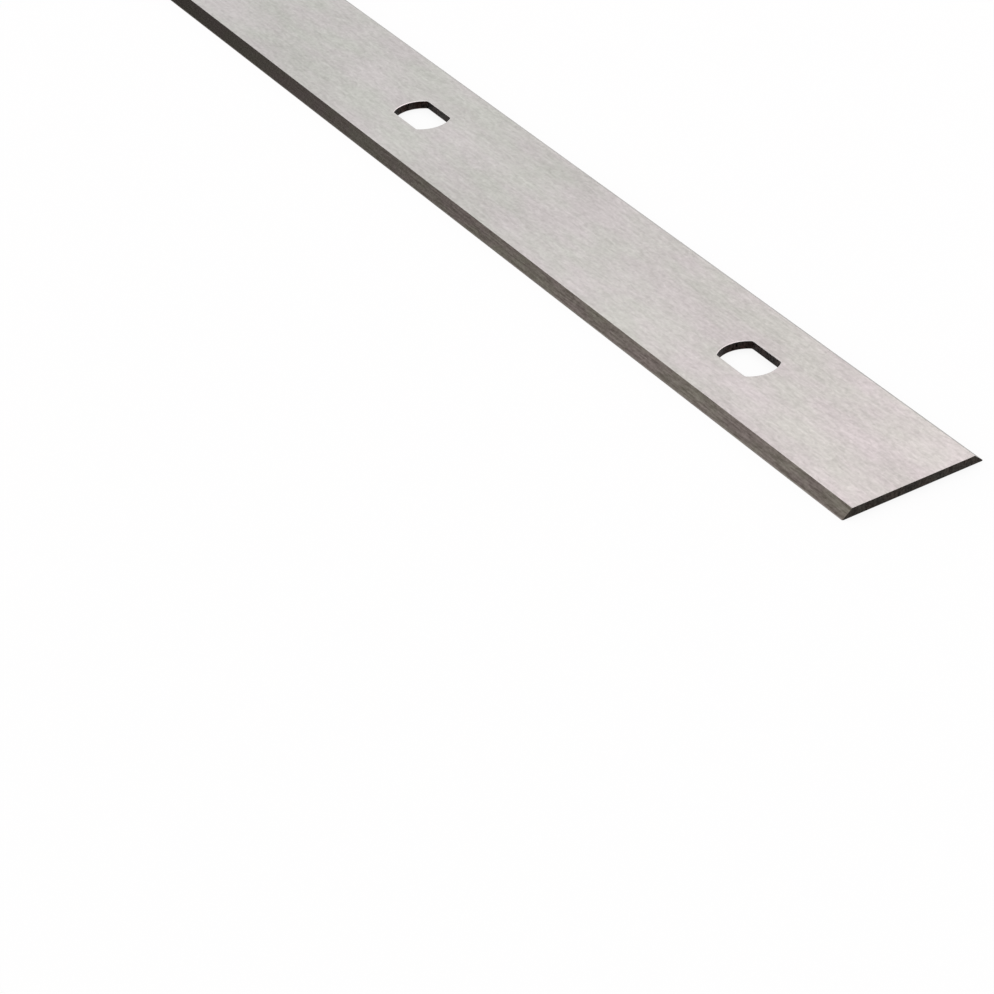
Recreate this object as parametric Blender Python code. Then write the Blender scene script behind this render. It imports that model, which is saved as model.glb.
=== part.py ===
"""A reversible planer knife: one thin strip of hardened tool steel, ground flat on both faces.

Both long sides are ground to the same bevel, so the knife can be turned round when its first edge is
dull. A row of holes with flat sides and bulging ends locates it on the pins of the cutter head.

Metres, +Z up. The knife lies on its wide back face at z = 0, with its length along X, its two cutting
edges along the back face's sides at -Y and +Y, and the origin under its middle.
"""

import math

import bmesh
import bpy
from mathutils import Vector

# Driving dimensions of the strip

KNIFE_LENGTH = 0.333  # from one square end to the other, along X
KNIFE_WIDTH = 0.0198  # from one cutting edge to the other, along Y
KNIFE_THICKNESS = 0.00115  # between the two ground faces
CORNER_RADIUS = 0.0002  # rounding of the four fragile tips, seen from above

# Driving dimensions of the two ground edges

BEVEL_ANGLE = math.radians(41.0)  # the main bevel, measured up from the back face
HONING_LIFT = math.radians(5.0)  # how much steeper the honed strip is than the main bevel
HONED_HEIGHT = 0.00011  # how far the honed strip climbs from the back face
EDGE_LAND = 0.00002  # height of the blunt that is left on the very edge

# Driving dimensions of the holes

HOLE_PITCH = 0.0686  # from one hole's middle to the next
LEAST_END_DISTANCE = 0.020  # no hole's middle comes closer to an end than this
HOLE_WIDTH = 0.0052  # between a hole's two flat sides
HOLE_FLAT_LENGTH = 0.00534  # length of each flat side, along X, measured between sharp corners
HOLE_END_BULGE = 0.00094  # how far each curved end bulges past those corners
HOLE_CORNER_RADIUS = 0.0004  # rounding between a flat side and a curved end

# Modelling values

CUT_CLEARANCE = 0.001  # how far a cutter runs past the face that it cuts
CORNER_STEPS = 8  # facets on each rounded tip
HOLE_CORNER_STEPS = 5  # facets on each rounded corner of a hole
HOLE_END_STEPS = 20  # facets on each curved end of a hole
SMOOTH_ANGLE = math.radians(30.0)  # facets that meet more steeply than this stay sharp

STEEL_COLOUR = (0.56, 0.54, 0.52, 1.0)  # linear RGB of the ground faces
STEEL_ROUGHNESS = 0.42


def clear_scene():
    """Removes every object, so that the script can be run again in the same file."""
    for old in list(bpy.data.objects):
        bpy.data.objects.remove(old, do_unlink=True)


def tool_steel():
    """Hardened tool steel with a fine ground finish."""
    material = bpy.data.materials.new("tool_steel_ground")
    material.use_nodes = True
    shader = material.node_tree.nodes["Principled BSDF"]
    shader.inputs["Base Color"].default_value = STEEL_COLOUR
    shader.inputs["Metallic"].default_value = 1.0
    shader.inputs["Roughness"].default_value = STEEL_ROUGHNESS
    return material


def sweep(bm, outline, travel):
    """Adds one closed solid to bm: the flat outline moved in a straight line by travel."""
    face = bm.faces.new([bm.verts.new(point) for point in outline])
    swept = bmesh.ops.extrude_face_region(bm, geom=[face])
    far_verts = [item for item in swept["geom"] if isinstance(item, bmesh.types.BMVert)]
    bmesh.ops.translate(bm, verts=far_verts, vec=travel)


def finish_object(name, bm):
    """Turns bm into an object whose faces point outwards."""
    bmesh.ops.recalc_face_normals(bm, faces=bm.faces)
    mesh = bpy.data.meshes.new(name)
    bm.to_mesh(mesh)
    bm.free()
    solid = bpy.data.objects.new(name, mesh)
    bpy.context.scene.collection.objects.link(solid)
    return solid


def make_cutter(solid):
    """Marks a solid as a cutter. Its walls are smooth, so the round walls that it leaves are too."""
    solid.data.shade_smooth()
    solid.data.set_sharp_from_angle(angle=SMOOTH_ANGLE)
    solid.display_type = "WIRE"
    solid.hide_render = True
    return solid


def cut(solid, cutter, operation):
    """Adds a Boolean of the solid with the cutter."""
    modifier = solid.modifiers.new(cutter.name, "BOOLEAN")
    modifier.operation = operation
    modifier.solver = "EXACT"
    modifier.object = cutter


def half_section():
    """Half of the knife's section as (y, z) points, from the back face's edge up to the front face.

    It is drawn out to the sharp point that the honed strip would have. The plan outline then trims
    that point, and what it leaves there is the edge land.
    """
    honed_slope = math.tan(BEVEL_ANGLE + HONING_LIFT)
    bevel_slope = math.tan(BEVEL_ANGLE)
    sharp_y = KNIFE_WIDTH / 2 + EDGE_LAND / honed_slope
    honed_y = sharp_y - HONED_HEIGHT / honed_slope
    front_y = honed_y - (KNIFE_THICKNESS - HONED_HEIGHT) / bevel_slope
    return [(sharp_y, 0.0), (honed_y, HONED_HEIGHT), (front_y, KNIFE_THICKNESS)]


def ground_blank():
    """The strip before it is cut to length: its section, swept along X."""
    right = half_section()
    left = [(-y, z) for y, z in reversed(right)]
    start_x = -KNIFE_LENGTH / 2 - CUT_CLEARANCE
    bm = bmesh.new()
    sweep(bm, [(start_x, y, z) for y, z in right + left], Vector((-2 * start_x, 0, 0)))
    return finish_object("planer_knife", bm)


def arc(centre, radius, start, end, steps):
    """Points (x, y) of a circular arc, both of its ends included."""
    angles = [start + (end - start) * step / steps for step in range(steps + 1)]
    return [(centre[0] + radius * math.cos(a), centre[1] + radius * math.sin(a)) for a in angles]


def upright_cutter(name, outlines):
    """A cutter of upright prisms, one over each plan outline, that runs past both faces."""
    bm = bmesh.new()
    height = KNIFE_THICKNESS + 2 * CUT_CLEARANCE
    for outline in outlines:
        sweep(bm, [(x, y, -CUT_CLEARANCE) for x, y in outline], Vector((0, 0, height)))
    return make_cutter(finish_object(name, bm))


def knife_outline():
    """The knife seen from above: square ends, the full width, and rounded tips."""
    x = KNIFE_LENGTH / 2 - CORNER_RADIUS
    y = KNIFE_WIDTH / 2 - CORNER_RADIUS
    outline = []
    for number, centre in enumerate([(x, y), (-x, y), (-x, -y), (x, -y)]):
        start = number * math.pi / 2
        outline += arc(centre, CORNER_RADIUS, start, start + math.pi / 2, CORNER_STEPS)
    return outline


def hole_outline(middle_x):
    """One hole seen from above: two flat sides along X, two curved ends, and rounded corners.

    A corner's arc touches a flat side and a curved end from inside, so its centre lies one corner
    radius inward from both.
    """
    half_width = HOLE_WIDTH / 2
    end_radius = (half_width**2 + HOLE_END_BULGE**2) / (2 * HOLE_END_BULGE)
    end_x = HOLE_FLAT_LENGTH / 2 + HOLE_END_BULGE - end_radius
    corner_y = half_width - HOLE_CORNER_RADIUS
    corner_x = end_x + math.sqrt((end_radius - HOLE_CORNER_RADIUS) ** 2 - corner_y**2)
    spread = math.atan2(corner_y, corner_x - end_x)
    quarter = math.pi / 2
    low_corner = arc((corner_x, -corner_y), HOLE_CORNER_RADIUS, -quarter, -spread, HOLE_CORNER_STEPS)
    end = arc((end_x, 0), end_radius, -spread, spread, HOLE_END_STEPS)
    high_corner = arc((corner_x, corner_y), HOLE_CORNER_RADIUS, spread, quarter, HOLE_CORNER_STEPS)
    right_half = low_corner[:-1] + end + high_corner[1:]
    left_half = [(-x, -y) for x, y in right_half]
    return [(middle_x + x, y) for x, y in right_half + left_half]


def hole_places():
    """The x of each hole's middle: as many as fit at the pitch, centred on the knife."""
    gaps = math.floor((KNIFE_LENGTH - 2 * LEAST_END_DISTANCE) / HOLE_PITCH)
    return [(number - gaps / 2) * HOLE_PITCH for number in range(gaps + 1)]


def main():
    clear_scene()
    knife = ground_blank()
    knife.data.materials.append(tool_steel())
    holes = [hole_outline(middle_x) for middle_x in hole_places()]
    cut(knife, upright_cutter("plan_outline", [knife_outline()]), "INTERSECT")
    cut(knife, upright_cutter("locating_holes", holes), "DIFFERENCE")


main()
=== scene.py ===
# %% [markdown]
# # A reversible planer knife
#
# The object is one thin strip of hardened tool steel. Both faces are ground flat, both long sides are
# ground to a bevel, and five flat-sided holes sit on its middle line. There is nothing to assemble, so
# the lesson is about two things: a clean solid with true edges, and six finishes of one metal.
#
# Each step has a short text like this one, then code. The first step loads the imported model, which is
# the frame that everything else has to fit, and reads its box at once.

# %% Load the frame
import math

import bmesh
import bpy
from mathutils import Euler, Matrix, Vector


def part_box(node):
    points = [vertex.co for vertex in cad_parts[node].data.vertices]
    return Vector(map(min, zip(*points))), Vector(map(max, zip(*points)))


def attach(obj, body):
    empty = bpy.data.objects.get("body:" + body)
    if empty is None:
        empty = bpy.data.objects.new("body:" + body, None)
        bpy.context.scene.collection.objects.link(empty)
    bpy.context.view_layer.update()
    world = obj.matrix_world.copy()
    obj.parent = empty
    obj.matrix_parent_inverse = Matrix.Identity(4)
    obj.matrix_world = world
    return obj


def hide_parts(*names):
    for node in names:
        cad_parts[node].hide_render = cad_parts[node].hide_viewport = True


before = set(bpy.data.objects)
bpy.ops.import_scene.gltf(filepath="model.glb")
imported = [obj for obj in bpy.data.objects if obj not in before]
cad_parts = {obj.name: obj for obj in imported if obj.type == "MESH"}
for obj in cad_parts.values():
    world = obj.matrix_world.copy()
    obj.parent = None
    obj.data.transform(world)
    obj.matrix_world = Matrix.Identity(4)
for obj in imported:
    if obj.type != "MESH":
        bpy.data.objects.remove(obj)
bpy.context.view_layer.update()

KNIFE = "planer_knife"
knife_low, knife_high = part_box(KNIFE)
length, width, thickness = knife_high - knife_low
print("the frame's knife measures, in mm:",
      [round(1000 * side, 2) for side in (length, width, thickness)])


# %% [markdown]
# ## Helpers
#
# Colours are easiest to choose as the hex values that a colour picker shows, but Blender's shaders work
# in linear light. One function turns the first into the second.
#
# Another function adds a node, with its settings and what goes into it. It serves shader trees and
# Geometry Nodes trees alike, because both are node trees. What goes into an input is a constant, another
# node's output, or simply another node, which stands for its first output. A list feeds several nodes
# into one input, such as the meshes that a Boolean joins.

# %% Colour and node helpers
MM = 0.001


def linear(hex_colour):
    """An sRGB hex colour, such as "c8c2be", as linear RGBA."""
    channels = [int(hex_colour[place:place + 2], 16) / 255 for place in (0, 2, 4)]
    return tuple(c / 12.92 if c <= 0.04045 else ((c + 0.055) / 1.055) ** 2.4 for c in channels) + (1.0,)


def first_output(node):
    """The output that a node stands for: the first that its settings leave in use."""
    return next(output for output in node.outputs if output.enabled)


def add(tree, kind, inputs=None, **settings):
    """Adds a node to a tree. Its inputs are given by name, or by number where two share a name."""
    node = tree.nodes.new(kind)
    for name, value in settings.items():
        setattr(node, name, value)
    for key, value in (inputs or {}).items():
        named = (socket for socket in node.inputs if socket.name == key and socket.enabled)
        socket = node.inputs[key] if isinstance(key, int) else next(named)
        for item in value if isinstance(value, list) else [value]:
            if isinstance(item, bpy.types.Node):
                item = first_output(item)
            if isinstance(item, bpy.types.NodeSocket):
                tree.links.new(item, socket)
            else:
                socket.default_value = item
    return node


print("mid grey, 808080 to a colour picker, is %.3f in linear light" % linear("808080")[0])


# %% [markdown]
# ## The camera
#
# A photograph fixes six things about the camera and one about its lens. They were found by laying the
# knife's corners and hole rims over the photograph: it was taken from the front right, some 36 degrees
# above the table, with a long lens from about 35 cm away. That is why the far part narrows so slowly.
# The camera is stated the way a photographer would set it up: where it aims on the plane of the knife's
# front face, the direction and the distance it looks from, and a small tilt of the horizon.

# %% Place the camera
AIM = Vector((143.365 * MM, -38.852 * MM, thickness))
AZIMUTH, ELEVATION, HORIZON_TILT = math.radians(56.186), math.radians(35.861), math.radians(-0.331)
DISTANCE = 353.17 * MM
LENS_MM, SENSOR_MM = 118.9, 36.0

camera_data = bpy.data.cameras.new("camera")
camera_data.lens = LENS_MM
camera_data.sensor_width = SENSOR_MM
camera_data.clip_start, camera_data.clip_end = 0.01, 20.0
camera = bpy.data.objects.new("camera", camera_data)
bpy.context.scene.collection.objects.link(camera)
bpy.context.scene.camera = camera

turn = Euler((math.pi / 2 - ELEVATION, 0, AZIMUTH)).to_quaternion()
camera.rotation_mode = "QUATERNION"
camera.rotation_quaternion = turn @ Euler((0, 0, HORIZON_TILT)).to_quaternion()
camera.location = AIM + turn @ Vector((0, 0, DISTANCE))
print("camera at, in mm:", [round(c / MM, 1) for c in camera.location])


# %% [markdown]
# ## One steel, six finishes
#
# The knife is high-speed steel throughout, and only the way each surface was made differs. That is what
# the eye reads as separate materials, so each finish gets a material of its own. All are metals: the
# metallic value is 1, the IOR stays at its default, and the base colour is what the finish reflects. The
# bevels, the ends and the hole walls also carry painted shade in their colour, and the rims a painted
# highlight.
#
# Grinding leaves marks that are long one way and narrow the other, so most patterns here are noise that
# is stretched. A Mapping node divides the object's own coordinates by the size of one mark, given in
# millimetres, and a seed slides the noise to another place so that no two layers look alike.

# %% Noise at a real size
SEED_STEP = 7.3, 3.1, 1.7  # how far each step of the seed slides the noise, counted in marks


def marks(tree, size_mm, seed, detail=3.0, roughness=0.55, distortion=0.0):
    """Noise whose marks measure size_mm along X, Y and Z. Distortion bends them a little."""
    scaled = add(tree, "ShaderNodeMapping", {
        "Vector": add(tree, "ShaderNodeTexCoord").outputs["Object"],
        "Location": tuple(seed * step for step in SEED_STEP),
        "Scale": tuple(1 / (MM * side) for side in size_mm),
    })
    return add(tree, "ShaderNodeTexNoise", {
        "Vector": scaled, "Scale": 1.0, "Detail": detail, "Roughness": roughness,
        "Distortion": distortion})


# %% [markdown]
# A finish is three things that follow one grain: colour, roughness and a slight relief. They belong
# together on real steel too, where the floor of a scratch is darker, duller and lower than its ridges.
# Only the tint goes its own way, as thin films of oxide and oil do.

# %% A steel finish from its patterns
TINT_LIMITS = 0.38, 0.62  # most of the noise lies between these, so the tint changes fully within them


def steel(name):
    """A metal's material: returns it with its tree and its Principled shader."""
    material = bpy.data.materials.new(name)
    material.use_nodes = True
    shader = material.node_tree.nodes["Principled BSDF"]
    shader.inputs["Metallic"].default_value = 1.0
    return material, material.node_tree, shader


def finish(tree, shader, grain, drift, greys, roughness, relief_mm):
    """Colour, roughness and relief that follow one grain, and a tint that drifts on its own.

    The grain runs from its first to its second limit. Over that range the colour goes from the darker
    to the lighter pair of greys, and the roughness from its first to its second value. Each pair holds
    a cool and a warm grey, and the drift leads from the one to the other.
    """
    value, low, high = grain
    spread = add(tree, "ShaderNodeMapRange", {"Value": value, "From Min": low, "From Max": high})
    tint = add(tree, "ShaderNodeMapRange", {
        "Value": drift, "From Min": TINT_LIMITS[0], "From Max": TINT_LIMITS[1]})
    darker, lighter = [add(tree, "ShaderNodeMix", {
        "Factor": tint, "A": linear(cool), "B": linear(warm)}, data_type="RGBA") for cool, warm in greys]
    colour = add(tree, "ShaderNodeMix", {"Factor": spread, "A": darker, "B": lighter}, data_type="RGBA")
    rough = add(tree, "ShaderNodeMapRange", {
        "Value": spread, "To Min": roughness[0], "To Max": roughness[1]})
    bump = add(tree, "ShaderNodeBump", {"Height": spread, "Distance": relief_mm * MM})
    for socket, node in (("Base Color", colour), ("Roughness", rough), ("Normal", bump)):
        tree.links.new(first_output(node), shader.inputs[socket])


def scratched_lengthwise(tree, shader, amount):
    """Draws highlights out across the knife, as scratches along it do."""
    across = add(tree, "ShaderNodeVectorTransform", {"Vector": (0.0, 1.0, 0.0)},
                 vector_type="VECTOR", convert_from="OBJECT", convert_to="WORLD")
    tree.links.new(across.outputs["Vector"], shader.inputs["Tangent"])
    shader.inputs["Anisotropic"].default_value = amount


# %% [markdown]
# ## Surface-ground faces
#
# A surface grinder drags the steel to and fro under a wide wheel. Each grain of the wheel leaves a
# scratch of about 0.02 mm, too fine to show here, so the marks are drawn about twenty times as wide,
# which is what bundles of scratches look like from a step away. They are short, because the wheel
# touches the steel only over a short arc. Other layers break the surface up: longer hairs, a round grit,
# small clouds and broad swells where the wheel bit more or less, and a tint that drifts a little between
# a greenish and a pinkish grey, as thin films on steel do.

# %% The ground faces' material
def face_drift(tree):
    """The slow drift of tint over the faces. Their rims share it, so that no seam of colour shows."""
    return marks(tree, (12.0, 5.0, 5.0), seed=4, detail=4.0)


def surface_ground_steel():
    """Pale satin with short lengthwise streaks: the eye sees a soft sheen and no clear reflection."""
    material, tree, shader = steel("hss_surface_ground")
    grain = marks(tree, (1.1, 0.46, 0.46), seed=1, roughness=0.6, distortion=0.6)
    hairs = marks(tree, (3.4, 0.38, 0.38), seed=3, detail=2.0)
    grit = marks(tree, (0.45, 0.45, 0.45), seed=15, detail=2.0)
    clouds = marks(tree, (3.2, 2.2, 2.2), seed=2)
    swells = marks(tree, (20.0, 10.0, 10.0), seed=3012)
    for layer, weight in ((hairs, 0.5), (grit, 0.5), (clouds, 0.2), (swells, 0.7)):
        grain = add(tree, "ShaderNodeMath", {0: layer, 1: weight, 2: grain}, operation="MULTIPLY_ADD")
    greys = ("a6a7a1", "aaa7a5"), ("cbccc6", "cfcbca")
    finish(tree, shader, (grain, 0.96, 1.84), face_drift(tree), greys,
           roughness=(0.44, 0.36), relief_mm=0.004)
    scratched_lengthwise(tree, shader, amount=0.3)
    return material


# %% [markdown]
# ## Bevels, honed strips and rubbed rims
#
# The bevels were ground last, along the edge, with a coarser wheel. They are drawn a much darker grey,
# which drifts between olive and a purplish brown. The darkness is painted shade, for the shade in their
# coarser scratches and for the dark side of the room that they mirror.
# Their scratches all run one way, so the bevels mirror quite sharply along the knife and hardly at all
# across it. The honed strip at the very edge is finer and a little brighter, though still darkened by
# painted shade. The brightest parts are the rims of the holes, which a stone has rubbed; their pale colour
# is partly that wear and partly a painted highlight.

# %% The edges' materials
def ground_bevel_steel():
    """Dark satin with fine streaks along the edge, which lead the eye down its length. The dark is painted
    shade.
    """
    material, tree, shader = steel("hss_bevel_ground")
    lines = marks(tree, (2.8, 0.2, 0.2), seed=5, detail=2.0)
    short = marks(tree, (0.6, 0.25, 0.25), seed=6, detail=2.0)
    grain = add(tree, "ShaderNodeMath", {0: short, 1: 0.7, 2: lines}, operation="MULTIPLY_ADD")
    drift = marks(tree, (5.0, 2.0, 2.0), seed=13)
    # the dark greys are painted shade, for the shade in the scratches and the dark side of the room
    greys = ("5d584f", "5f5652"), ("817c73", "847a76")
    finish(tree, shader, (grain, 0.6, 1.1), drift, greys, roughness=(0.28, 0.2), relief_mm=0.004)
    scratched_lengthwise(tree, shader, amount=0.8)
    return material


def honed_steel():
    """A finer and brighter line along each cutting edge, darker than the faces by painted shade."""
    material, tree, shader = steel("hss_honed_edge")
    fine = marks(tree, (2.6, 0.12, 0.12), seed=7)
    drift = marks(tree, (5.0, 2.0, 2.0), seed=14)
    # darker than the faces' greys by painted shade, as the bevels' are
    greys = ("7c776f", "7e7571"), ("9b968e", "9d9490")
    finish(tree, shader, (fine, 0.3, 0.7), drift, greys, roughness=(0.3, 0.22), relief_mm=0.002)
    return material


def rubbed_and_highlight_steel():
    """Stoned rims, pale partly from wear and partly as a painted highlight: the eye sees a thin light line
    around each hole.
    """
    material, tree, shader = steel("hss_rubbed_rim_painted_highlight")
    worn = marks(tree, (0.9, 0.9, 0.9), seed=8)
    # the pale greys are partly rubbed wear and partly a painted highlight
    greys = ("cfcdca", "d1cccb"), ("e1dfdc", "e3dede")
    finish(tree, shader, (worn, 0.3, 0.7), face_drift(tree), greys,
           roughness=(0.34, 0.26), relief_mm=0.002)
    return material


# %% [markdown]
# ## Cut ends and hole walls
#
# The ends and the holes were cut before the steel was hardened, and nothing has touched them since. They
# are drawn nearly black, which is painted shade for the dark side of the room that these upright faces
# mirror, mottled in black and brown patches and crossed by upright marks where the saw and the punch
# went through.

# %% The ends' and hole walls' materials, nearly black with painted shade
def near_black_painted_shade(name, marks_mm, seed, greys):
    """Nearly black from painted shade, and dull, with upright marks: the eye reads it as an unworked
    surface.
    """
    material, tree, shader = steel(name)
    upright = marks(tree, marks_mm, seed, detail=2.0)
    patches = marks(tree, (0.26, 0.26, 0.22), seed + 1, roughness=0.65)
    grain = add(tree, "ShaderNodeMath", {0: upright, 1: 0.7, 2: patches}, operation="MULTIPLY_ADD")
    drift = marks(tree, (1.6, 1.6, 1.0), seed + 2)
    finish(tree, shader, (grain, 0.65, 1.05), drift, greys, roughness=(0.6, 0.45), relief_mm=0.010)
    return material


# near-black greys: painted shade for the dark side of the room that the ends and hole walls mirror
END_GREYS_PAINTED_SHADE = ("1d1a17", "211a16"), ("3d3934", "413933")
HOLE_GREYS_PAINTED_SHADE = ("000000", "040201"), ("352f2c", "3b2c28")
FINISHES = {
    "Face Finish": surface_ground_steel(),
    "Bevel Finish": ground_bevel_steel(),
    "Honed Finish": honed_steel(),
    "End Finish": near_black_painted_shade("hss_cut_end_painted_shade", marks_mm=(0.3, 0.3, 2.0), seed=9, greys=END_GREYS_PAINTED_SHADE),
    "Hole Finish": near_black_painted_shade("hss_hole_wall_painted_shade", marks_mm=(0.3, 0.3, 1.0), seed=17, greys=HOLE_GREYS_PAINTED_SHADE),
}
RIM_WEAR_AND_HIGHLIGHT = rubbed_and_highlight_steel()
print("finishes:", ", ".join(material.name for material in list(FINISHES.values()) + [RIM_WEAR_AND_HIGHLIGHT]))


# %% [markdown]
# ## The knife's sizes
#
# The three outer sizes come from the frame. The rest are those of the construction: the angles of the
# bevel and of the honed strip, the rounding of the tips, and the double-flatted holes. A little
# trigonometry turns them into what the tree needs. Both ground sections are trapezoids, so each needs
# its width at the bottom and at the top. A hole's outline is the same in all four quarters, so it needs
# only the two arcs of one quarter: half of the curved end, and a corner that touches it from inside.

# %% Work out the section
BEVEL_SLOPE = math.tan(math.radians(41.0))
HONED_SLOPE = math.tan(math.radians(46.0))
HONED_HEIGHT, EDGE_LAND = 0.11 * MM, 0.02 * MM
TIP_RADIUS = 0.2 * MM
OVERRUN = 1.0 * MM  # how far each cutter runs past the surface that it cuts

sharp_y = width / 2 + EDGE_LAND / HONED_SLOPE
honed_y = sharp_y - HONED_HEIGHT / HONED_SLOPE
front_y = honed_y - (thickness - HONED_HEIGHT) / BEVEL_SLOPE
STRIP_SIZES = {
    "Length": length,
    "Width": width,
    "Tip Radius": TIP_RADIUS,
    "Sweep Start": Vector((-length / 2 - OVERRUN, 0, thickness / 2)),
    "Sweep End": Vector((length / 2 + OVERRUN, 0, thickness / 2)),
    "Bevel Height": thickness,
    "Bevel Low Width": 2 * (front_y + thickness / BEVEL_SLOPE),
    "Bevel High Width": 2 * front_y,
    "Honed Height": thickness + 2 * OVERRUN,
    "Honed Low Width": 2 * (sharp_y + OVERRUN / HONED_SLOPE),
    "Honed High Width": 2 * (sharp_y - (thickness + OVERRUN) / HONED_SLOPE),
    "Honed Level": HONED_HEIGHT,
}
print("front face %.2f mm wide, each bevel %.2f mm" % (2 * front_y / MM, (width / 2 - front_y) / MM))


# %% Work out the holes
HOLE_COUNT, HOLE_PITCH = 5, 68.6 * MM
HOLE_WIDTH, HOLE_FLAT, HOLE_BULGE, HOLE_CORNER = 5.2 * MM, 5.34 * MM, 0.94 * MM, 0.4 * MM

end_radius = ((HOLE_WIDTH / 2) ** 2 + HOLE_BULGE**2) / (2 * HOLE_BULGE)
end_x = HOLE_FLAT / 2 + HOLE_BULGE - end_radius
corner_y = HOLE_WIDTH / 2 - HOLE_CORNER
corner_x = end_x + math.sqrt((end_radius - HOLE_CORNER) ** 2 - corner_y**2)
meeting_angle = math.atan2(corner_y, corner_x - end_x)
HOLE_SIZES = {
    "Hole Count": HOLE_COUNT,
    "First Hole": Vector((-(HOLE_COUNT - 1) * HOLE_PITCH / 2, 0, 0)),
    "Hole Step": Vector((HOLE_PITCH, 0, 0)),
    "Hole Reach": HOLE_WIDTH,
    "End Radius": end_radius,
    "End Centre": Vector((end_x, 0, 0)),
    "Corner Radius": HOLE_CORNER,
    "Corner Centre": Vector((corner_x, corner_y, 0)),
    "Meeting Angle": meeting_angle,
    "Corner Sweep": math.pi / 2 - meeting_angle,
    "Cut Start": Vector((0, 0, -OVERRUN)),
    "Cut End": Vector((0, 0, thickness + OVERRUN)),
}
print("each hole is %.2f mm long, with ends of %.2f mm radius" % (
    (HOLE_FLAT + 2 * HOLE_BULGE) / MM, end_radius / MM))


# %% [markdown]
# ## The knife as a Geometry Nodes tree
#
# The knife's shape follows a rule: a section swept along a line, trimmed to an outline, with one hole
# repeated at a pitch. It could be drawn by hand, but a tree keeps the rule, so that a change of one
# number gives another correct knife. It is also the way a machinist makes it. One trapezoid, swept
# along the length, has the main bevel, and another has the steeper honed angle. What the two share is
# the ground section. A rounded rectangle, swept upwards, trims the tips and the ends.
#
# Curve to Mesh turns a profile upside down when it sweeps it along X, so the low width is given as the
# trapezoid's top.

# %% The strip's part of the tree
SOCKET_KINDS = {
    float: "NodeSocketFloat",
    int: "NodeSocketInt",
    Vector: "NodeSocketVector",
    bpy.types.Material: "NodeSocketMaterial",
}
TIP_FACETS = 8


def swept(tree, profile, start, end):
    """A closed solid: a profile curve swept in a straight line."""
    line = add(tree, "GeometryNodeCurvePrimitiveLine", {"Start": start, "End": end})
    return add(tree, "GeometryNodeCurveToMesh", {
        "Curve": line, "Profile Curve": profile, "Fill Caps": True})


def ground_section(tree, given, grind):
    """The trapezoid of one grind, swept along X past both ends."""
    trapezoid = add(tree, "GeometryNodeCurvePrimitiveQuadrilateral", {
        "Height": given[grind + " Height"],
        "Bottom Width": given[grind + " High Width"],
        "Top Width": given[grind + " Low Width"],
        "Offset": 0.0,
    }, mode="TRAPEZOID")
    return swept(tree, trapezoid, given["Sweep Start"], given["Sweep End"])


def plan_outline(tree, given):
    """The knife's outline from above, with rounded tips, swept upwards past both faces."""
    rectangle = add(tree, "GeometryNodeCurvePrimitiveQuadrilateral", {
        "Width": given["Length"], "Height": given["Width"]})
    rounded = add(tree, "GeometryNodeFilletCurve", {
        "Curve": rectangle, "Count": TIP_FACETS, "Radius": given["Tip Radius"]}, mode="POLY")
    return swept(tree, rounded, given["Cut Start"], given["Cut End"])


# %% [markdown]
# The tool that cuts one hole is convex, so it needs no faces of its own. Its outline's points are laid
# out once below the back face and once above the front face, and Convex Hull closes them into a solid.
# The tool is then instanced on a row of points.

# %% The holes' part of the tree
END_POINTS, CORNER_POINTS = 13, 6  # points of a quarter's two arcs, with both ends of each


def quarter_arc(tree, points, radius, start, sweep, centre):
    """An arc of a given number of points, moved to its centre."""
    arc = add(tree, "GeometryNodeCurveArc", {
        "Resolution": points, "Radius": radius, "Start Angle": start, "Sweep Angle": sweep,
    }, mode="RADIUS")
    return add(tree, "GeometryNodeTransform", {"Geometry": arc, "Translation": centre})


def with_copy(tree, shape, **move):
    """A shape joined with a moved copy of itself."""
    copy = add(tree, "GeometryNodeTransform", {"Geometry": shape, **move})
    return add(tree, "GeometryNodeJoinGeometry", {"Geometry": [shape, copy]})


def hole_tool(tree, given):
    """One hole's cutter, from a quarter of its outline."""
    end = quarter_arc(tree, END_POINTS, given["End Radius"], 0.0,
                      given["Meeting Angle"], given["End Centre"])
    corner = quarter_arc(tree, CORNER_POINTS, given["Corner Radius"], given["Meeting Angle"],
                         given["Corner Sweep"], given["Corner Centre"])
    quarter = add(tree, "GeometryNodeJoinGeometry", {"Geometry": [end, corner]})
    half = with_copy(tree, quarter, Scale=(1.0, -1.0, 1.0))
    outline = with_copy(tree, half, Scale=(-1.0, 1.0, 1.0))
    low = add(tree, "GeometryNodeTransform", {"Geometry": outline, "Translation": given["Cut Start"]})
    high = add(tree, "GeometryNodeTransform", {"Geometry": outline, "Translation": given["Cut End"]})
    levels = add(tree, "GeometryNodeJoinGeometry", {"Geometry": [low, high]})
    return add(tree, "GeometryNodeConvexHull", {"Geometry": levels})


def row_of_holes(tree, given):
    """The hole's cutter, instanced at the pitch along the knife's middle line."""
    points = add(tree, "GeometryNodeMeshLine", {
        "Count": given["Hole Count"],
        "Start Location": given["First Hole"],
        "Offset": given["Hole Step"],
    })
    row = add(tree, "GeometryNodeInstanceOnPoints", {
        "Points": points, "Instance": hole_tool(tree, given)})
    return add(tree, "GeometryNodeRealizeInstances", {"Geometry": row})


# %% [markdown]
# The tree's last part gives each face its finish. Which way a face looks and where it lies says what it
# is: a slanted one is a bevel, or the honed strip if it lies low. An upright one is an end if it lies
# furthest out, and a hole's wall if it lies further in and near the middle line. The hair-thin blunt of
# a cutting edge is upright too, but neither, so it keeps the honed finish. Each Set Material overrules
# the one before it, from the general to the particular.

# %% The finishes' part of the tree
SLANTED_BELOW, UPRIGHT_BELOW = 0.9, 0.1  # limits for the height of a face's normal
END_SHARE = 0.49  # an upright face further out than this share of the length is an end
LESS = {"data_type": "FLOAT", "operation": "LESS_THAN"}


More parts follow.
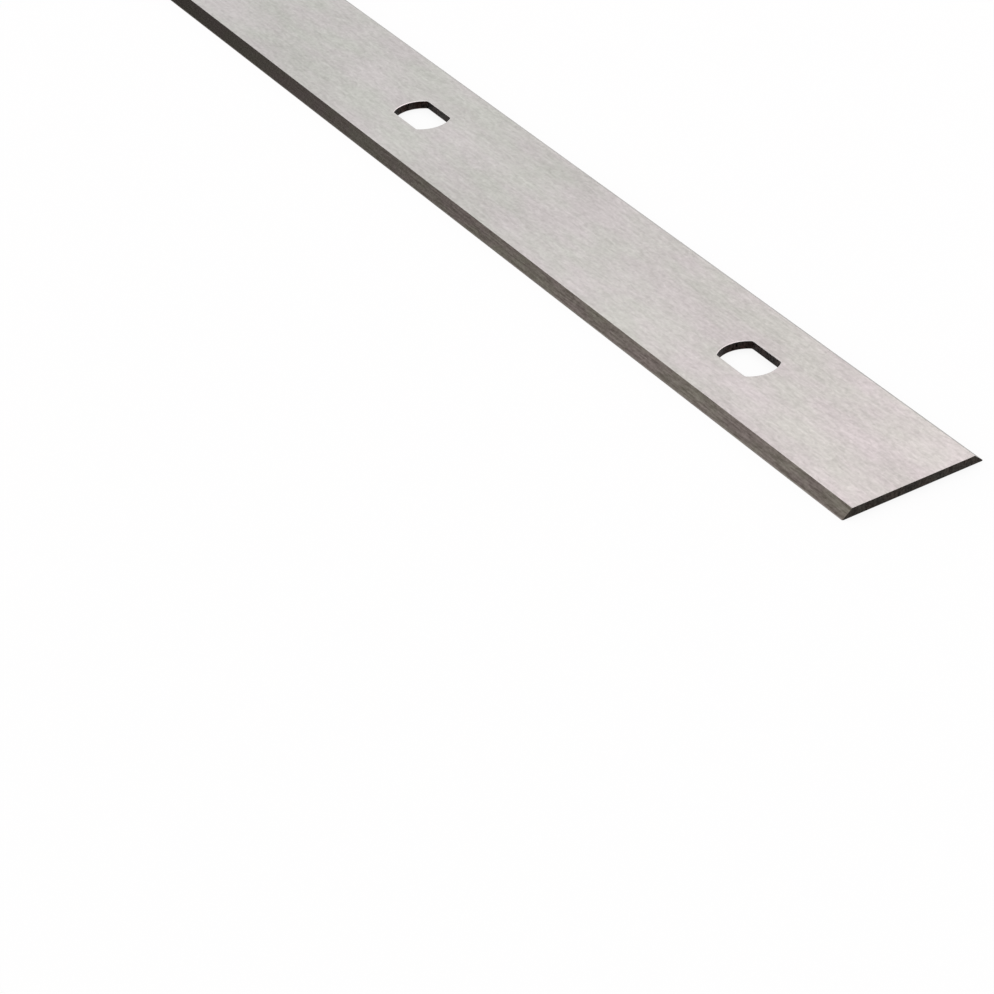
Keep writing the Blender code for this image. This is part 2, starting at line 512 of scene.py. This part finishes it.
def with_finishes(tree, given, mesh):
    """Sets the material of each face by its place and its normal."""
    normal = add(tree, "ShaderNodeSeparateXYZ", {0: add(tree, "GeometryNodeInputNormal")})
    place = add(tree, "ShaderNodeSeparateXYZ", {0: add(tree, "GeometryNodeInputPosition")})
    lean = add(tree, "ShaderNodeMath", {0: normal.outputs["Z"]}, operation="ABSOLUTE")
    aside = add(tree, "ShaderNodeMath", {0: place.outputs["Y"]}, operation="ABSOLUTE")
    along = add(tree, "ShaderNodeMath", {0: place.outputs["X"]}, operation="ABSOLUTE")
    ends = add(tree, "ShaderNodeMath", {0: given["Length"], 1: END_SHARE}, operation="MULTIPLY")
    slanted = add(tree, "FunctionNodeCompare", {"A": lean, "B": SLANTED_BELOW}, **LESS)
    upright = add(tree, "FunctionNodeCompare", {"A": lean, "B": UPRIGHT_BELOW}, **LESS)
    low = add(tree, "FunctionNodeCompare", {"A": place.outputs["Z"], "B": given["Honed Level"]}, **LESS)
    inside = add(tree, "FunctionNodeCompare", {"A": along, "B": ends}, **LESS)
    central = add(tree, "FunctionNodeCompare", {"A": aside, "B": given["Hole Reach"]}, **LESS)
    honed = add(tree, "FunctionNodeBooleanMath", {0: slanted, 1: low}, operation="AND")
    at_end = add(tree, "FunctionNodeBooleanMath", {0: upright, 1: inside}, operation="NIMPLY")
    inner = add(tree, "FunctionNodeBooleanMath", {0: inside, 1: central}, operation="AND")
    in_hole = add(tree, "FunctionNodeBooleanMath", {0: upright, 1: inner}, operation="AND")
    steps = [("Face Finish", True), ("Bevel Finish", slanted), ("Honed Finish", honed),
             ("End Finish", at_end), ("Hole Finish", in_hole)]
    for name, faces in steps:
        mesh = add(tree, "GeometryNodeSetMaterial", {
            "Geometry": mesh, "Selection": faces, "Material": given[name]})
    return mesh


# %% [markdown]
# Now the parts come together. The tree declares a named input for each size and finish, and it ends in
# Realize Instances and Set Material, so that what it gives is one plain mesh.

# %% The whole tree
def knife_form(values):
    """The tree, with a named input for each of the values."""
    tree = bpy.data.node_groups.new("planer_knife_form", "GeometryNodeTree")
    for name, value in values.items():
        tree.interface.new_socket(name=name, in_out="INPUT", socket_type=SOCKET_KINDS[type(value)])
    tree.interface.new_socket(name="Geometry", in_out="OUTPUT", socket_type="NodeSocketGeometry")
    given = add(tree, "NodeGroupInput").outputs
    blank = add(tree, "GeometryNodeMeshBoolean", {"Mesh": [
        ground_section(tree, given, "Bevel"),
        ground_section(tree, given, "Honed"),
        plan_outline(tree, given),
    ]}, operation="INTERSECT", solver="EXACT")
    drilled = add(tree, "GeometryNodeMeshBoolean", {
        "Mesh 1": blank, "Mesh 2": row_of_holes(tree, given)}, operation="DIFFERENCE", solver="EXACT")
    realized = add(tree, "GeometryNodeRealizeInstances", {"Geometry": drilled})
    add(tree, "NodeGroupOutput", {"Geometry": with_finishes(tree, given, realized)})
    return tree


form_values = {**STRIP_SIZES, **HOLE_SIZES, **FINISHES}
form = knife_form(form_values)
print("the tree has", len(form.nodes), "nodes and", len(form_values), "inputs")


# %% [markdown]
# ## From tree to mesh
#
# The tree runs on an empty mesh. Its inputs are set by their identifiers, because a modifier knows its
# sockets by those and not by their names. The result is kept as a plain mesh in a new object at the
# origin, and the object that carried the modifier is removed.

# %% Run the tree and keep its mesh
def made_by(tree, name, values):
    """A plain mesh object that holds what the tree makes from the values."""
    host = bpy.data.objects.new(name + "_host", bpy.data.meshes.new(name + "_host"))
    bpy.context.scene.collection.objects.link(host)
    modifier = host.modifiers.new("form", "NODES")
    modifier.node_group = tree
    for item in tree.interface.items_tree:
        if item.in_out == "INPUT":
            modifier[item.identifier] = values[item.name]
    evaluated = host.evaluated_get(bpy.context.evaluated_depsgraph_get())
    mesh = bpy.data.meshes.new_from_object(evaluated)
    bpy.data.objects.remove(host)
    if mesh.materials[0] is None:  # the empty mesh that the tree started from leaves an empty slot
        mesh.materials.pop(index=0)
    mesh.name = name
    piece = bpy.data.objects.new(name, mesh)
    bpy.context.scene.collection.objects.link(piece)
    return piece


knife = made_by(form, "ground_knife", form_values)
print("the mesh has", len(knife.data.polygons), "faces in", len(knife.data.materials), "materials")


# %% [markdown]
# ## Rubbed rims
#
# A punched or cut hole has a burr on its rim, which would keep the knife from lying flat. So the rims of
# the holes are stoned lightly on both faces. The tiny facets catch the light, and their pale material adds
# a painted highlight, so they show as a thin bright line.
# The Bevel operator makes them, on those edges alone. The borders between the front face and the bevels
# stay crisp, because they are where two ground surfaces meet.

# %% Break the rims with a fine bevel
RIM_WIDTH = 0.09 * MM
RIM_FACETS = 2  # across the width of a rim
LEVEL = 0.001 * MM  # places that agree this nearly count as one
SHARP_ANGLE = math.radians(18.0)  # faces that meet more steeply than this have an edge between them


def is_rim(edge):
    """Whether an edge is a hole's rim, on the front face or on the back face."""
    on_face = any(all(abs(vert.co.z - level) < LEVEL for vert in edge.verts) for level in (0.0, thickness))
    near_hole = all(abs(vert.co.x) < length / 2 - OVERRUN and abs(vert.co.y) < HOLE_WIDTH / 2 + LEVEL
                    for vert in edge.verts)
    return on_face and near_hole and edge.calc_face_angle(0.0) > SHARP_ANGLE


def break_rims(piece, material):
    """Bevels the rims, gives them their own material, and returns how many edges there were."""
    piece.data.materials.append(material)
    bm = bmesh.new()
    bm.from_mesh(piece.data)
    bmesh.ops.remove_doubles(bm, verts=bm.verts, dist=LEVEL)
    rims = [edge for edge in bm.edges if is_rim(edge)]
    bmesh.ops.bevel(bm, geom=rims, offset=RIM_WIDTH, offset_type="WIDTH", segments=RIM_FACETS,
                    profile=0.5, affect="EDGES", material=len(piece.data.materials) - 1,
                    clamp_overlap=True)
    bmesh.ops.recalc_face_normals(bm, faces=bm.faces)
    open_edges = [edge for edge in bm.edges if not edge.is_manifold]
    bm.to_mesh(piece.data)
    bm.free()
    piece.data.shade_smooth()
    piece.data.set_sharp_from_angle(angle=SHARP_ANGLE)
    return len(rims), len(open_edges)


print("rims broken and open edges left:", break_rims(knife, RIM_WEAR_AND_HIGHLIGHT))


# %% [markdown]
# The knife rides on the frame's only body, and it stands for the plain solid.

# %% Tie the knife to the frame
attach(knife, "root")
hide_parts(KNIFE)


# %% [markdown]
# ## The floor
#
# The photograph's ground is pure white. The floor is a wide sheet of matt white paper. To the camera and
# in reflections most of its light is plain white, which a Light Path node decides, so that it looks like
# the photograph's ground and still shows a little of the knife's own shadow.

# %% Make the floor
FLOOR_HALF = 3.0  # half the width of the sheet, in metres
FLOOR_DROP = 0.02 * MM  # the sheet lies this far below the knife, so that no two faces coincide
FLOOR_GLOW = 0.86  # how much of the floor's look is plain white
PLAIN_WHITE, PAPER_WHITE = linear("ffffff"), linear("f8f8f8")


def seen_directly(tree):
    """1 for camera, glossy and transmission rays, and 0 for the rays that carry soft light."""
    path = add(tree, "ShaderNodeLightPath").outputs
    seen = add(tree, "ShaderNodeMath", {
        0: path["Is Camera Ray"], 1: path["Is Glossy Ray"]}, operation="MAXIMUM")
    return add(tree, "ShaderNodeMath", {0: seen, 1: path["Is Transmission Ray"]}, operation="MAXIMUM")


def matt_paper():
    """Matt white paper: a dull sheet without any sheen, mostly plain white to the eye."""
    material = bpy.data.materials.new("matt_white_paper")
    material.use_nodes = True
    tree = material.node_tree
    shader = tree.nodes["Principled BSDF"]
    shader.inputs["Base Color"].default_value = PAPER_WHITE
    shader.inputs["Roughness"].default_value = 0.9
    shader.inputs["Specular IOR Level"].default_value = 0.0
    share = add(tree, "ShaderNodeMath", {0: seen_directly(tree), 1: FLOOR_GLOW}, operation="MULTIPLY")
    glow = add(tree, "ShaderNodeEmission", {"Color": PLAIN_WHITE, "Strength": 1.0})
    blend = add(tree, "ShaderNodeMixShader", {0: share, 1: shader, 2: glow})
    tree.links.new(blend.outputs["Shader"], tree.nodes["Material Output"].inputs["Surface"])
    return material


corners = [(FLOOR_HALF * x, FLOOR_HALF * y, -FLOOR_DROP) for x, y in ((-1, -1), (1, -1), (1, 1), (-1, 1))]
floor_mesh = bpy.data.meshes.new("floor")
floor_mesh.from_pydata(corners, [], [(0, 1, 2, 3)])
floor_mesh.materials.append(matt_paper())
floor = bpy.data.objects.new("floor", floor_mesh)
bpy.context.scene.collection.objects.link(floor)
print("floor", 2 * FLOOR_HALF, "m wide")


# %% [markdown]
# ## Light
#
# A plain soft studio: an even white surround, and one large soft box behind and to the right of the
# knife. The near end of the knife mirrors a direction closer to that box than the far end does, so the
# front face is a little brighter and warmer there, as in the photograph.
#
# Low on the left the photographer's room was dark. The far part of the near bevel mirrors it, and so
# that bevel darkens steadily along its length. The surround's shader finds how far each direction lies
# from the middle of that dark side, and dims it for mirrored rays alone.

# %% Light the scene
SURROUND = 0.95  # the surround's strength for soft light; what is seen of it is plain white
DARK_AZIMUTH, DARK_ELEVATION = math.radians(201.5), math.radians(19.0)
DARK_CORE, DARK_RIM = math.radians(11.5), math.radians(19.2)  # fully dark within, fully white beyond
DARK_COLOUR = linear("1a1816")
SOFT_BOX_PLACE = Vector((-0.385, 0.87, 1.32))
SOFT_BOX_SIZE = 1.0
SOFT_BOX_WATTS = 3.7
SOFT_BOX_COLOUR = linear("ffe0ea")

world = bpy.data.worlds.new("white_studio")
bpy.context.scene.world = world
world.use_nodes = True
studio = world.node_tree
studio.nodes.clear()
strength = add(studio, "ShaderNodeMath", {
    0: seen_directly(studio), 1: 1.0 - SURROUND, 2: SURROUND}, operation="MULTIPLY_ADD")
dark_side = Vector((math.cos(DARK_ELEVATION) * math.cos(DARK_AZIMUTH),
                    math.cos(DARK_ELEVATION) * math.sin(DARK_AZIMUTH), math.sin(DARK_ELEVATION)))
nearness = add(studio, "ShaderNodeVectorMath", {
    0: add(studio, "ShaderNodeTexCoord").outputs["Generated"], 1: dark_side}, operation="DOT_PRODUCT")
shade = add(studio, "ShaderNodeMapRange", {
    "Value": nearness, "From Min": math.cos(DARK_RIM), "From Max": math.cos(DARK_CORE)},
    interpolation_type="SMOOTHSTEP")
mirrored = add(studio, "ShaderNodeMath", {
    0: shade, 1: add(studio, "ShaderNodeLightPath").outputs["Is Glossy Ray"]}, operation="MULTIPLY")
room = add(studio, "ShaderNodeMix", {
    "Factor": mirrored, "A": PLAIN_WHITE, "B": DARK_COLOUR}, data_type="RGBA")
surround = add(studio, "ShaderNodeBackground", {"Color": room, "Strength": strength})
add(studio, "ShaderNodeOutputWorld", {"Surface": surround})

box_data = bpy.data.lights.new("soft_box", "AREA")
box_data.shape = "SQUARE"
box_data.size = SOFT_BOX_SIZE
box_data.energy = SOFT_BOX_WATTS
box_data.color = SOFT_BOX_COLOUR[:3]
soft_box = bpy.data.objects.new("soft_box", box_data)
soft_box.location = SOFT_BOX_PLACE
soft_box.rotation_mode = "QUATERNION"
soft_box.rotation_quaternion = (-SOFT_BOX_PLACE).to_track_quat("-Z", "Y")
bpy.context.scene.collection.objects.link(soft_box)

bpy.context.scene.view_settings.view_transform = "Standard"
print("soft box of", SOFT_BOX_WATTS, "W and a surround of strength", SURROUND)
